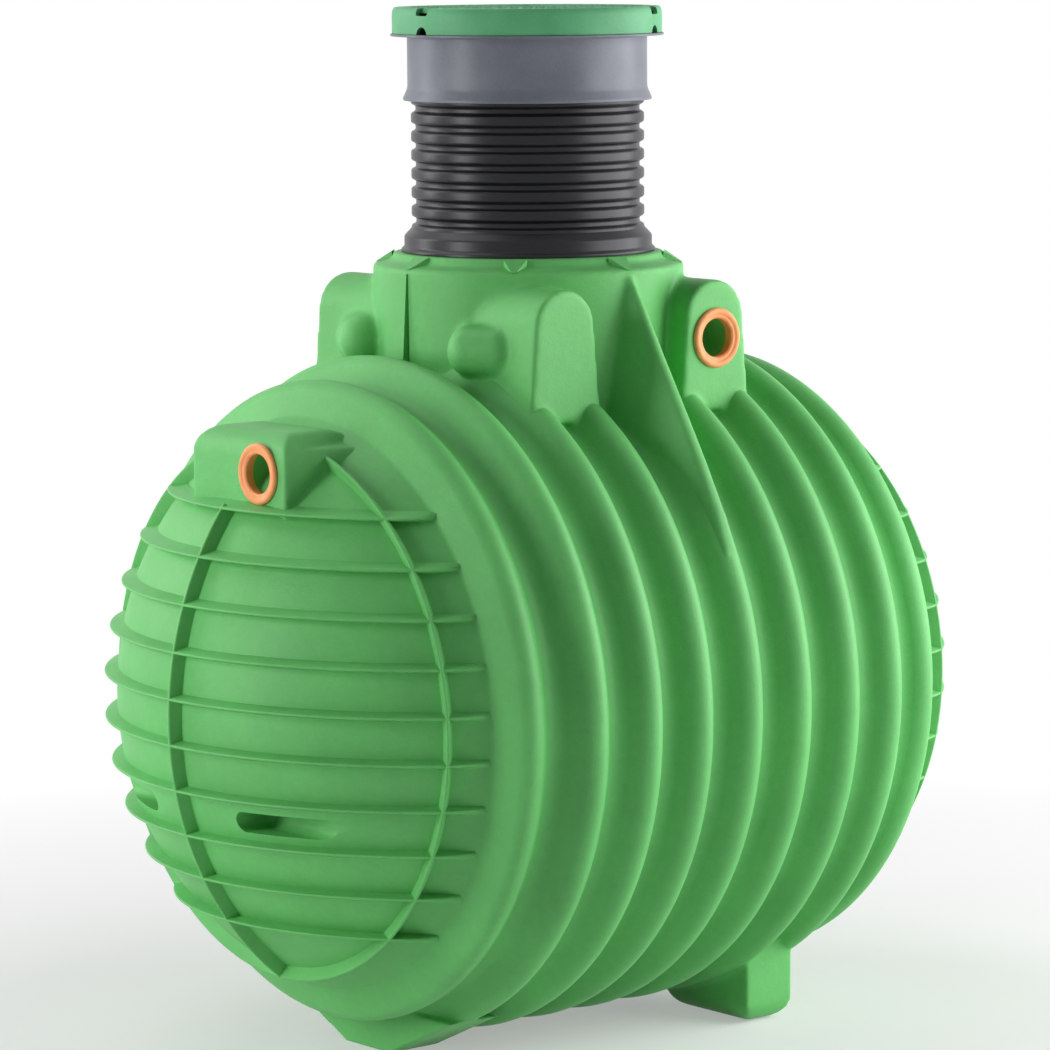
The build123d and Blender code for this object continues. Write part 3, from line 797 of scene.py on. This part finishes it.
for side_name, side_y in (("near", -1), ("far", 1)):
    solid = rear_foot("foot", side_y)
    foot = blended("rear_foot_" + side_name + "_skin", [solid], voxel=FOOT_VOXEL, passes=8)
    hand_over(foot, "tank_plastic", "rear_foot_" + side_name)
foot = blended("front_foot_skin", [front_foot("foot")], voxel=FOOT_VOXEL, passes=8)
hand_over(foot, "tank_plastic", "front_foot")

# %% [markdown]
# Ten level fins, a ring rib and an upright spine stiffen each dome. All their outer edges
# lie on one larger sphere, so a fin is a small drafted section spun about the upright line
# through the dome's centre, the ring is spun about the tank's axis, and the spine about the
# level cross line. At its two ends a fin runs out: its last sections are lowered towards
# the dome.

# %% Rib grids
GRID_R = 0.9945
FIN_COUNT = 10
FIN_PITCH = 0.1303
FIN_SECTION = {"half_tip": 0.0042, "half_root": 0.0088, "flare": 0.018}
RING_SECTION = {"half_tip": 0.0050, "half_root": 0.0085, "flare": 0.016}
SPINE_SECTION = {"half_tip": 0.0055, "half_root": 0.010, "flare": 0.020}
FIN_STEPS = 72
RUN_OUT_TURN = 0.16
RING_ANGLE = math.radians(51.5)
FIN_END_X = 0.838
SPINE_LOW = -0.778
SPINE_HIGH = 0.600


def rib_section(name, inner, outer, half_tip, half_root, flare):
    """A drafted rib section in the XZ plane, its foot flared, pointing along +X."""
    points = [(inner - 0.012, -flare), (inner + 0.004, -half_root - 0.003), (outer - 0.004, -half_tip),
              (outer - 0.0012, -half_tip * 0.72), (outer, 0.0), (outer - 0.0012, half_tip * 0.72),
              (outer - 0.004, half_tip), (inner + 0.004, half_root + 0.003), (inner - 0.012, flare)]
    return outline(name, [(r, 0.0, h) for r, h in points])


def fin(name, side_x, z):
    """One level fin of a dome, from its near end to its far end."""
    inner = math.sqrt(DOME_R ** 2 - z ** 2)
    outer = math.sqrt(GRID_R ** 2 - z ** 2)
    half_turn = math.acos((FIN_END_X - DOME_CENTRE_X) / outer)
    piece = rib_section(name, inner, outer, **FIN_SECTION)
    bpy.ops.mesh.select_all(action="SELECT")
    start = math.pi - half_turn if side_x < 0 else -half_turn
    turn = Matrix.Rotation(start, 4, "Z")
    mesh = bmesh.from_edit_mesh(piece.data)
    for vertex in mesh.verts:
        vertex.co = turn @ vertex.co + Vector((side_x * DOME_CENTRE_X, 0, axis_z + z))
    bmesh.update_edit_mesh(piece.data)
    centre = (side_x * DOME_CENTRE_X, 0, 0)
    bpy.ops.mesh.spin(steps=FIN_STEPS, angle=2 * half_turn, center=centre, axis=(0, 0, -1))
    run_out(piece, side_x, z, half_turn, inner)
    bpy.ops.mesh.select_all(action="SELECT")
    bpy.ops.mesh.normals_make_consistent(inside=False)
    clear_selection()
    return piece


def run_out(piece, side_x, z, half_turn, inner):
    """Lowers the last sections of a fin towards the dome, smoothly."""
    mesh = bmesh.from_edit_mesh(piece.data)
    centre = Vector((side_x * DOME_CENTRE_X, 0.0, axis_z + z))
    for vertex in mesh.verts:
        arm = vertex.co - centre
        rho = math.hypot(arm.x, arm.y)
        angle = abs(math.atan2(arm.y, side_x * arm.x))
        left = min(1.0, (half_turn - angle) / RUN_OUT_TURN)
        share = 1 - (1 - left) ** 2
        if rho > inner:
            wanted = inner + (rho - inner) * share
            vertex.co.x = centre.x + arm.x * wanted / rho
            vertex.co.y = centre.y + arm.y * wanted / rho
    bmesh.update_edit_mesh(piece.data)


def ring(name, side_x):
    """The ring stands square to the dome, so it leans forward by the dome's own slope."""
    piece = rib_section(name, DOME_R, GRID_R, **RING_SECTION)
    outward = Vector((side_x * math.cos(RING_ANGLE), 0.0, math.sin(RING_ANGLE)))
    across = Vector((-side_x * math.sin(RING_ANGLE), 0.0, math.cos(RING_ANGLE)))
    centre = Vector((side_x * DOME_CENTRE_X, 0.0, axis_z))
    mesh = bmesh.from_edit_mesh(piece.data)
    for vertex in mesh.verts:
        vertex.co = centre + vertex.co.x * outward + vertex.co.z * across
    bmesh.update_edit_mesh(piece.data)
    spin_closed(piece, axis=(1, 0, 0), centre=(0, 0, axis_z), steps=160)
    return piece


def spine(name, side_x):
    piece = rib_section(name, DOME_R, GRID_R, **SPINE_SECTION)
    low = math.asin(SPINE_LOW / GRID_R)
    high = math.asin(SPINE_HIGH / GRID_R)
    mesh = bmesh.from_edit_mesh(piece.data)
    for vertex in mesh.verts:
        radius, side = vertex.co.x, vertex.co.z
        vertex.co = Vector((side_x * (DOME_CENTRE_X + radius * math.cos(low)), side,
                            axis_z + radius * math.sin(low)))
    bmesh.update_edit_mesh(piece.data)
    bpy.ops.mesh.select_all(action="SELECT")
    axis = (0, 1, 0) if side_x > 0 else (0, -1, 0)
    centre = (side_x * DOME_CENTRE_X, 0, axis_z)
    bpy.ops.mesh.spin(steps=64, angle=high - low, center=centre, axis=axis)
    bpy.ops.mesh.select_all(action="SELECT")
    bpy.ops.mesh.normals_make_consistent(inside=False)
    clear_selection()
    return piece


for end_name, side_x in (("front", -1), ("back", 1)):
    ribs = [ring("ring", side_x), spine("spine", side_x)]
    for number in range(FIN_COUNT):
        z = (number - (FIN_COUNT - 1) / 2) * FIN_PITCH
        ribs.append(fin("fin", side_x, z))
    grid = joined(end_name + "_grid", ribs)
    smooth(grid, 50)
    hand_over(grid, "tank_plastic", end_name + "_rib_grid")

# %% [markdown]
# Below the middle of each dome two long pockets are let into the skin. Their floor is level
# across the tank, so a pocket is deep beside the spine and runs out to nothing towards the
# side. A boolean with a rounded bar cuts them.

# %% Pockets in the domes
SLOT_Z = -0.262
SLOT_HALF = 0.030
SLOT_IN_Y = 0.190
SLOT_OUT_Y = 0.540
SLOT_FLOOR_X = 1.095
SLOT_REACH = 0.30
SLOT_END_ROUND = 0.96 * SLOT_HALF
SLOT_FLOOR_ROUND = 0.012


def slot_cutter(side_x, side_y):
    clear_selection()
    length = SLOT_OUT_Y - SLOT_IN_Y
    bpy.ops.mesh.primitive_cube_add(size=1, location=(
        side_x * (SLOT_FLOOR_X + SLOT_REACH / 2), side_y * (SLOT_IN_Y + length / 2), axis_z + SLOT_Z))
    bpy.context.active_object.scale = (SLOT_REACH, length, 2 * SLOT_HALF)
    piece = added("slot_cutter")
    edit(piece)
    bpy.ops.mesh.select_all(action="SELECT")
    pick(piece, "edges", lambda e: abs(e.verts[0].co.x - e.verts[1].co.x) > 0.1)
    bpy.ops.mesh.bevel(offset=SLOT_END_ROUND, segments=8)
    pick(piece, "edges", lambda e: all(abs(v.co.x - side_x * SLOT_FLOOR_X) < 1e-4 for v in e.verts))
    bpy.ops.mesh.bevel(offset=SLOT_FLOOR_ROUND, segments=4)
    bpy.ops.mesh.select_all(action="SELECT")
    bpy.ops.mesh.normals_make_consistent(inside=False)
    clear_selection()
    return piece


cutters = [slot_cutter(side_x, side_y) for side_x in (-1, 1) for side_y in (-1, 1)]
cutter = joined("slot_cutters", cutters)
apply_modifier(skin, "BOOLEAN", operation="DIFFERENCE", object=cutter, solver="MANIFOLD")
bpy.data.objects.remove(cutter)
smooth(skin, 40)
hand_over(skin, "tank_plastic", "barrel_top", "barrel_upper_near", "barrel_upper_far",
          "barrel_lower_near", "barrel_lower_far", "barrel_bottom", "front_end", "back_end")

# %% [markdown]
# The riser is a corrugated pipe: seven grooves with rounded lips in a straight wall. It is
# drawn as a half section, its corners rounded, and turned. The base ring under it flares
# out and clamps it to the plateau.

# %% Riser and its base ring
RISER_R = 0.340
RISER_BORE_R = 0.318
RISER_TOP = 1.840
GROOVE_COUNT = 7
GROOVE_PITCH = 0.0542
GROOVE_DEPTH = 0.0135
GROOVE_MOUTH = 0.028
GROOVE_FLOOR = 0.014
FIRST_GROOVE = 1.345
LIP_ROUND = 0.0045
FLOOR_ROUND = 0.004
BASE_BORE = 0.3405
BASE_FLANGE_R = 0.371
BASE_R = 0.362


def riser():
    profile = [(RISER_R, NECK_TOP)]
    corners = []
    for n in range(GROOVE_COUNT):
        z = FIRST_GROOVE + n * GROOVE_PITCH
        floor_r = RISER_R - GROOVE_DEPTH
        profile += [(RISER_R, z - GROOVE_MOUTH / 2), (floor_r, z - GROOVE_FLOOR / 2),
                    (floor_r, z + GROOVE_FLOOR / 2), (RISER_R, z + GROOVE_MOUTH / 2)]
        first = 4 * n + 1
        corners += [(first, LIP_ROUND), (first + 1, FLOOR_ROUND)]
        corners += [(first + 2, FLOOR_ROUND), (first + 3, LIP_ROUND)]
    profile += [(RISER_R, RISER_TOP), (RISER_BORE_R, RISER_TOP), (RISER_BORE_R, NECK_TOP),
                (RISER_R, NECK_TOP)]
    return turned("riser_skin", profile, corners, steps=144)


piece = riser()
smooth(piece, 35)
hand_over(piece, "black_plastic", "riser_pipe")

base_profile = [(BASE_BORE, NECK_TOP), (BASE_FLANGE_R, NECK_TOP), (BASE_FLANGE_R, NECK_TOP + 0.009),
                (BASE_R, NECK_TOP + 0.016), (BASE_R, 1.300), (BASE_BORE, 1.323), (BASE_BORE, NECK_TOP)]
piece = turned("riser_base_skin", base_profile,
               [(1, 0.002), (2, 0.003), (3, 0.004), (4, 0.005), (5, 0.001)], steps=144)
smooth(piece, 35)
hand_over(piece, "black_plastic", "riser_base")

# %% [markdown]
# The collar slides over the riser and holds the lid on its flange. Its mouth spreads at the
# bottom. The lid is a shallow cap with a rounded rim and three lifting notches.

# %% Collar
COLLAR_BORE = 0.3415
COLLAR_R = 0.3495
FLANGE_R = 0.398
FLANGE_TOP = 1.8865
FLANGE_THICK = 0.007
MOUTH_TOP = 1.7295
MOUTH_FOOT = 1.6935

collar_profile = [(COLLAR_BORE, MOUTH_TOP), (0.3545, MOUTH_FOOT), (0.3625, MOUTH_FOOT),
                  (0.3620, MOUTH_FOOT + 0.008), (COLLAR_R, MOUTH_TOP),
                  (COLLAR_R, FLANGE_TOP - FLANGE_THICK),
                  (FLANGE_R, FLANGE_TOP - FLANGE_THICK), (FLANGE_R, FLANGE_TOP), (COLLAR_BORE, FLANGE_TOP),
                  (COLLAR_BORE, MOUTH_TOP)]
piece = turned("collar_skin", collar_profile,
               [(1, 0.003), (2, 0.003), (3, 0.002), (4, 0.008), (5, 0.006), (6, 0.002), (7, 0.002)],
               steps=144)
smooth(piece, 35)
hand_over(piece, "grey_plastic", "collar")

# %% [markdown]
# The lid's top carries an anti-slip field of small raised studs in rings. One stud is
# modelled and copied round each ring, with the rings half a pitch apart in turn.

# %% Lid
LID_R = 0.393
LID_TOP = 1.964
STUD_HEIGHT = 0.003
LID_FACE = LID_TOP - STUD_HEIGHT
NOTCH_COUNT = 3
NOTCH_FIRST = -90.0
NOTCH_WIDTH = 0.052
NOTCH_DEPTH = 0.026
NOTCH_FLOOR = 1.941
ARCH_R = 0.023
STUD_SIZE = 0.018
STUD_TAPER = 0.72
STUD_RINGS = 11
STUD_RING_STEP = 0.030
STUD_PITCH = 0.034


def lid_body():
    profile = [(0.0, LID_FACE - 0.012), (0.381, LID_FACE - 0.012), (0.381, FLANGE_TOP + 0.0003),
               (LID_R, FLANGE_TOP + 0.0003), (LID_R, 1.9490), (LID_R - 0.006, LID_TOP - 0.001),
               (LID_R - 0.030, LID_TOP - 0.0005), (LID_R - 0.034, LID_FACE), (0.0, LID_FACE)]
    piece = turned("lid_skin", profile, [(3, 0.002), (4, 0.006), (5, 0.004), (6, 0.002)], steps=192)
    return piece


def notch_cutter(number):
    """A square recess from above and a half round bite from below, at the rim."""
    clear_selection()
    middle_z = axis_z + (NOTCH_FLOOR + LID_TOP) / 2 + 0.01
    bpy.ops.mesh.primitive_cube_add(size=1, location=(0, -LID_R, middle_z))
    bpy.context.active_object.scale = (NOTCH_WIDTH, 2 * NOTCH_DEPTH, LID_TOP - NOTCH_FLOOR + 0.02)
    recess = added("recess")
    edit(recess)
    pick(recess, "edges", lambda e: abs(e.verts[0].co.z - e.verts[1].co.z) > 0.01)
    bpy.ops.mesh.bevel(offset=0.008, segments=4)
    clear_selection()
    bpy.ops.mesh.primitive_cylinder_add(vertices=32, radius=ARCH_R, depth=0.05,
                                        rotation=(math.radians(90), 0, 0),
                                        location=(0, -LID_R, axis_z + FLANGE_TOP))
    arch = added("arch")
    cutter = joined("notch_cutter", [recess, arch])
    turn = math.radians(NOTCH_FIRST + number * 360 / NOTCH_COUNT)
    cutter.rotation_euler.z = turn
    bpy.ops.object.transform_apply(rotation=True)
    return cutter


def studs():
    """Small square studs with drafted sides, in rings on the lid's face."""
    clear_selection()
    bpy.ops.mesh.primitive_cube_add(size=1, location=(0, 0, axis_z + LID_FACE + STUD_HEIGHT / 2 - 0.0005))
    bpy.context.active_object.scale = (STUD_SIZE, STUD_SIZE, STUD_HEIGHT + 0.001)
    stud = added("stud")
    edit(stud)
    pick(stud, "faces", lambda f: f.normal.z > 0.9)
    bpy.ops.transform.resize(value=(STUD_TAPER, STUD_TAPER, 1), center_override=(0, 0, axis_z + LID_TOP))
    clear_selection()
    copies = []
    for ring_number in range(1, STUD_RINGS + 1):
        radius = ring_number * STUD_RING_STEP
        count = max(6, int(2 * math.pi * radius / STUD_PITCH))
        for n in range(count):
            twin = stud.copy()
            twin.data = stud.data.copy()
            bpy.context.collection.objects.link(twin)
            angle = 2 * math.pi * (n + 0.5 * (ring_number % 2)) / count
            twin.rotation_euler.z = angle
            twin.location = (radius * math.cos(angle), radius * math.sin(angle), 0)
            copies.append(twin)
    bpy.data.objects.remove(stud)
    field = joined("studs", copies)
    bpy.ops.object.transform_apply(location=True, rotation=True, scale=True)
    return field


lid = lid_body()
for number in range(NOTCH_COUNT):
    cutter = notch_cutter(number)
    apply_modifier(lid, "BOOLEAN", operation="DIFFERENCE", object=cutter, solver="MANIFOLD")
    bpy.data.objects.remove(cutter)
lid = joined("lid_skin", [lid, studs()])
smooth(lid, 35)
hand_over(lid, "lid_plastic", "lid")

# %% [markdown]
# The pipe seals are soft rings with a rounded flange outside and a lip that points inwards.
# One half section serves both: it is turned about the upright axis and then laid on its
# seat.

# %% Pipe seals
SEAL_R = 0.087
SEAL_BORE = 0.055


def seal(name, place, rotation):
    profile = [(0.058, -0.022), (0.064, -0.022), (0.0655, -0.001), (SEAL_R, 0.0003), (SEAL_R, 0.007),
               (0.081, 0.013), (0.072, 0.012), (0.067, 0.0085), (0.061, 0.0085), (0.0555, 0.004),
               (SEAL_BORE, -0.010), (0.058, -0.022)]
    rounds = [(3, 0.002), (4, 0.0035), (5, 0.004), (6, 0.003), (7, 0.003), (8, 0.002), (9, 0.002)]
    piece = turned(name, [(r, z - axis_z) for r, z in profile], rounds, steps=96)
    activate(piece)
    piece.rotation_euler = rotation
    piece.location = place
    bpy.ops.object.transform_apply(location=True, rotation=True, scale=True)
    smooth(piece, 40)
    return piece


piece = seal("front_inlet_seal_skin", BOX_SEAL, (0, math.radians(-90), 0))
hand_over(piece, "seal_rubber", "front_inlet_seal")
piece = seal("outlet_seal_skin", POD_SEAL, (math.radians(90), 0, 0))
hand_over(piece, "seal_rubber", "outlet_seal")

# %% [markdown]
# The gussets on the ledge and the two seam ridges on the neck have the right shape in the
# construction model, so those nodes stay and only get the tank's finish.

# %% Nodes that stay
for name in ("neck_gussets", "neck_ridge_front", "neck_ridge_back"):
    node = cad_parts[name]
    node.data.materials.clear()
    node.data.materials.append(materials["tank_plastic"])

# %% [markdown]
# The camera stands where the photograph was taken from: in front and to the left of the
# tank, a little above its middle, with a long lens.

# %% Camera
CAMERA_PLACE = Vector((-8.8629, -10.6797, axis_z + 2.2015))
CAMERA_AZIMUTH = math.radians(-39.63)
CAMERA_ELEVATION = math.radians(7.22)
CAMERA_ROLL = math.radians(-0.34)
CAMERA_LENS = 162.76

back = Vector((math.sin(CAMERA_AZIMUTH) * math.cos(CAMERA_ELEVATION),
               -math.cos(CAMERA_AZIMUTH) * math.cos(CAMERA_ELEVATION), math.sin(CAMERA_ELEVATION)))
right = Vector((math.cos(CAMERA_AZIMUTH), math.sin(CAMERA_AZIMUTH), 0.0))
up = back.cross(right)
rolled_right = math.cos(CAMERA_ROLL) * right + math.sin(CAMERA_ROLL) * up
rolled_up = math.cos(CAMERA_ROLL) * up - math.sin(CAMERA_ROLL) * right
turn = Matrix((rolled_right, rolled_up, back)).transposed()
bpy.ops.object.camera_add(location=CAMERA_PLACE, rotation=turn.to_euler())
camera = bpy.context.active_object
camera.data.lens = CAMERA_LENS
camera.data.sensor_width = 36.0
camera.data.clip_end = 200.0
bpy.context.scene.camera = camera

# %% [markdown]
# The floor is pale and catches the tank's soft shadow. Further out it turns into plain
# white, and so does the world where the camera or a reflection sees it, so the background
# is white without any more light on the tank.

# %% Floor and world
FLOOR_SIZE = 120
FLOOR_COLOUR = linear(236, 236, 236)
PALE_FROM = 1.6
PALE_OVER = 2.6
NEAR_GLOW = 0.35
WORLD_STRENGTH = 0.10


def floor_finish():
    finish = Finish("floor_finish", roughness=0.9)
    parts = finish.split(finish.place)
    distance = (parts["X"] * parts["X"] + parts["Y"] * parts["Y"]) ** 0.5
    far = ((distance - PALE_FROM) / PALE_OVER).clamped()
    finish.set("Base Color", FLOOR_COLOUR)
    glow = finish.add("ShaderNodeEmission", None, {"Color": (1, 1, 1, 1), "Strength": 1.0})[0]
    path = finish.add("ShaderNodeLightPath")
    seen = (path["Is Camera Ray"] + path["Is Glossy Ray"] + path["Is Transmission Ray"]).clamped()
    share = (NEAR_GLOW + far * (1 - NEAR_GLOW)) * seen
    shader = Value(finish, finish.shader.outputs[0])
    mixed = finish.add("ShaderNodeMixShader", None, {0: share, 1: shader, 2: glow})[0]
    finish.feed(finish.tree.nodes["Material Output"].inputs["Surface"], mixed)
    return finish.material


clear_selection()
bpy.ops.mesh.primitive_plane_add(size=FLOOR_SIZE, location=(0, 0, 0))
floor = added("floor")
floor.data.materials.append(floor_finish())

world = bpy.data.worlds.new("studio")
bpy.context.scene.world = world
world.use_nodes = True
nodes, links = world.node_tree.nodes, world.node_tree.links
sky = nodes["Background"]
sky.inputs["Color"].default_value = (1, 1, 1, 1)
sky.inputs["Strength"].default_value = WORLD_STRENGTH
white = nodes.new("ShaderNodeBackground")
white.inputs["Color"].default_value = (1, 1, 1, 1)
white.inputs["Strength"].default_value = 1.0
path = nodes.new("ShaderNodeLightPath")
choose = nodes.new("ShaderNodeMixShader")
seen = path.outputs["Is Camera Ray"]
for kind in ("Is Glossy Ray", "Is Transmission Ray"):
    either = nodes.new("ShaderNodeMath")
    either.operation = "MAXIMUM"
    links.new(seen, either.inputs[0])
    links.new(path.outputs[kind], either.inputs[1])
    seen = either.outputs[0]
links.new(seen, choose.inputs[0])
links.new(sky.outputs[0], choose.inputs[1])
links.new(white.outputs[0], choose.inputs[2])
links.new(choose.outputs[0], nodes["World Output"].inputs["Surface"])


# %% [markdown]
# Large soft lamps on all sides, given by azimuth, elevation and distance as seen from the
# neck. The key comes from the right and leaves one flank of each rib in shade. A second one
# from the left lights the dome, and the other two draw pale edges from behind and above.

# %% Lamps
LAMP_TARGET = Vector((0.0, 0.0, 1.2))


def lamp(name, azimuth, elevation, distance, size, power):
    across, rise = math.radians(azimuth), math.radians(elevation)
    away = Vector((math.sin(across) * math.cos(rise), -math.cos(across) * math.cos(rise), math.sin(rise)))
    place = LAMP_TARGET + distance * away
    bpy.ops.object.light_add(type="AREA", location=place, rotation=away.to_track_quat("Z", "Y").to_euler())
    light = bpy.context.active_object
    light.name = name
    light.data.shape = "RECTANGLE"
    light.data.size, light.data.size_y = size
    light.data.energy = power
    return light


clear_selection()
lamp("key", 50, 15, 6.0, (7.0, 5.0), 540)
lamp("left", -105, 12, 8.0, (2.0, 5.0), 330)
lamp("rim", -150, 20, 8.0, (2.0, 5.0), 190)
lamp("top", -150, 65, 7.0, (4.0, 4.0), 110)

bpy.context.scene.view_settings.view_transform = "Standard"
